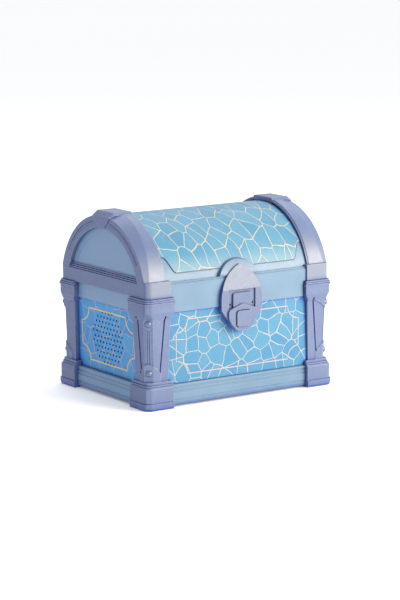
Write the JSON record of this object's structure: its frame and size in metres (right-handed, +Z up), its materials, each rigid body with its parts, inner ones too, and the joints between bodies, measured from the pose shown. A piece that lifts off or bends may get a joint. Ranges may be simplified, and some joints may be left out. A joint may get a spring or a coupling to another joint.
{
  "type": "treasure chest bubbler ornament",
  "caption": "Air-driven treasure chest ornament: a domed lid hinged at the back over an air bell, corner posts, vented ends and a push-button bolt in the lock plate.",
  "frame": {"origin": "centre of the footprint on the floor, at the base of the feet", "axes": "+X to the chest's right as seen from the front, -Y to the front with the lock plate, +Z up"},
  "size_m": [0.1802, 0.14, 0.1488],
  "materials": {
    "shell": "satin light blue",
    "crackle": "satin sky blue with pale crackle lines",
    "trim": "pearl lavender grey",
    "stud": "high gloss lavender grey",
    "stainless": "satin",
    "rubber": "matt",
    "clear_plastic": "clear",
    "air_stone": "porous"
  },
  "bodies": {
    "chest": {"tub": "shell", "base_plate": "shell", "deck_plate": "shell", "neck_rail": "shell", "front_panel": "crackle", "back_panel": "crackle", "left_vent_panel": "crackle", "right_vent_panel": "crackle", "front_plinth": "shell", "back_plinth": "shell", "left_plinth": "shell", "right_plinth": "shell", "front_left_post": "trim", "front_right_post": "trim", "back_left_post": "trim", "back_right_post": "trim", "post_studs": "stud", "foot_pads": "rubber", "base_screws": "stainless", "ballast_plate": "stainless", "inlet_nipple": "clear_plastic", "nipple_nut": "clear_plastic", "air_tube": "clear_plastic", "air_elbow": "clear_plastic", "stone_cup": "clear_plastic", "air_stone": "air_stone", "keeper_bush": "stainless", "body_hinge_leaves": "trim", "hinge_pins": "stainless", "body_hinge_screws": "stainless"},
    "lid": {"dome": "shell", "dome_skin": "crackle", "left_side_frame": "trim", "right_side_frame": "trim", "left_keystone": "trim", "right_keystone": "trim", "left_tympanum": "shell", "right_tympanum": "shell", "front_band": "shell", "back_band": "shell", "air_bell": "clear_plastic", "bell_screws": "stainless", "lid_hinge_leaves": "trim", "lid_hinge_screws": "stainless", "lock_collar": "shell", "lock_plate": "trim", "hasp_tab": "trim", "lock_pad": "trim", "plate_screws": "stainless"},
    "lock_button": {"button_cap": "trim", "lock_bolt": "stainless", "button_spring": "stainless"}
  },
  "joints": [
    {"name": "lid_hinge", "type": "hinge", "parent": "chest", "child": "lid", "pos_m": [0, 0.0665, 0.0875], "axis": [-1, 0, 0], "range_deg": [0, 55]},
    {"name": "button_press", "type": "slide", "parent": "lid", "child": "lock_button", "axis": [0, 1, 0], "range_m": [0, 0.0018], "stiffness_N_per_m": 400, "springref_m": -0.0006, "deforming": ["button_spring"]}
  ]
}
